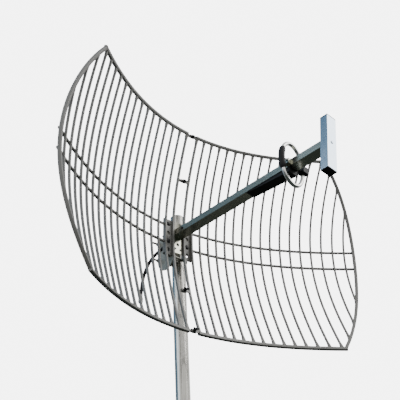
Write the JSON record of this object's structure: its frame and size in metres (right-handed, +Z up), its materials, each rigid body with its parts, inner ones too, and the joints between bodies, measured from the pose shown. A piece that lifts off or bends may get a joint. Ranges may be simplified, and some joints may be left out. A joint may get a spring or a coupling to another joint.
{
  "type": "grid parabolic antenna",
  "caption": "Open-grid parabolic dish with a loop feed on a square-section arm, tilting on a bracket clamped to a round mast.",
  "frame": {"origin": "centre of the mast foot's underside", "axes": "+Z up along the mast, boresight towards -Y, +X to the right seen from the front"},
  "size_m": [1.0038, 0.6561, 0.7954],
  "materials": {
    "grid_cast": "satin grey powder coat on die-cast aluminium",
    "tube_grey": "satin grey coated aluminium tube",
    "zinc_steel": "dull zinc plate with a slight yellow passivate",
    "mast_steel": "polished stainless tube, drawn lengthwise",
    "bright_screw": "bright plated",
    "loop_rod": "bright drawn rod",
    "connector_metal": "dull nickel plate",
    "black_plastic": "moulded black",
    "black_steel": "black oxide",
    "cable_jacket": "satin black jacket"
  },
  "bodies": {
    "mast": {"mast": "mast_steel", "mast_foot_plug": "black_plastic", "mast_cap": "zinc_steel"},
    "clamp": {"clamp_plate": "zinc_steel", "saddle_upper": "zinc_steel", "saddle_lower": "zinc_steel", "u_bolt_upper": "zinc_steel", "u_bolt_lower": "zinc_steel", "clamp_nut_upper_front": "zinc_steel", "clamp_nut_upper_rear": "zinc_steel", "clamp_nut_lower_front": "zinc_steel", "clamp_nut_lower_rear": "zinc_steel"},
    "dish": {"left_grid": "grid_cast", "right_grid": "grid_cast", "feed_socket": "tube_grey", "feed_arm": "tube_grey", "reflector_bar": "tube_grey", "feed_terminal": "tube_grey", "connector_body": "connector_metal", "connector_ring": "connector_metal", "connector_pin": "bright_screw", "arm_screw": "black_steel", "bar_screw": "tube_grey", "block_screw": "bright_screw", "terminal_screw": "bright_screw", "loop_element": "loop_rod", "loop_sleeve": "black_plastic", "loop_block": "black_plastic", "arm_end_plug": "black_plastic", "bar_cap_top": "black_plastic", "bar_cap_bottom": "black_plastic", "cable_gland": "black_plastic", "rod_tie": "black_plastic", "inner_coax": "cable_jacket", "pigtail_cable": "cable_jacket", "tilt_bracket": "zinc_steel", "pivot_bolt": "zinc_steel", "lock_bolt": "zinc_steel", "pivot_washer": "zinc_steel", "lock_washer": "zinc_steel", "pivot_nut": "zinc_steel", "lock_nut": "zinc_steel", "foot_screw_left": "zinc_steel", "foot_screw_right": "zinc_steel", "flange_nut_left_upper": "zinc_steel", "carriage_bolt_left_upper": "black_steel", "flange_nut_right_upper": "zinc_steel", "carriage_bolt_right_upper": "black_steel", "flange_nut_left_lower": "zinc_steel", "carriage_bolt_left_lower": "black_steel", "flange_nut_right_lower": "zinc_steel", "carriage_bolt_right_lower": "black_steel", "seam_screw_top": "black_steel", "wing_nut_top": "black_steel", "seam_screw_upper": "black_steel", "wing_nut_upper": "black_steel", "seam_screw_lower": "black_steel", "wing_nut_lower": "black_steel", "seam_screw_bottom": "black_steel", "wing_nut_bottom": "black_steel"}
  },
  "joints": [
    {"name": "azimuth_turn", "type": "hinge", "parent": "mast", "child": "clamp", "pos_m": [0, 0, 0.509], "axis": [0, 0, 1], "range_deg": [-180, 180]},
    {"name": "elevation_tilt", "type": "hinge", "parent": "clamp", "child": "dish", "pos_m": [-0.0497, -0.0465, 0.509], "axis": [-1, 0, 0], "range_deg": [-12, 28]}
  ]
}
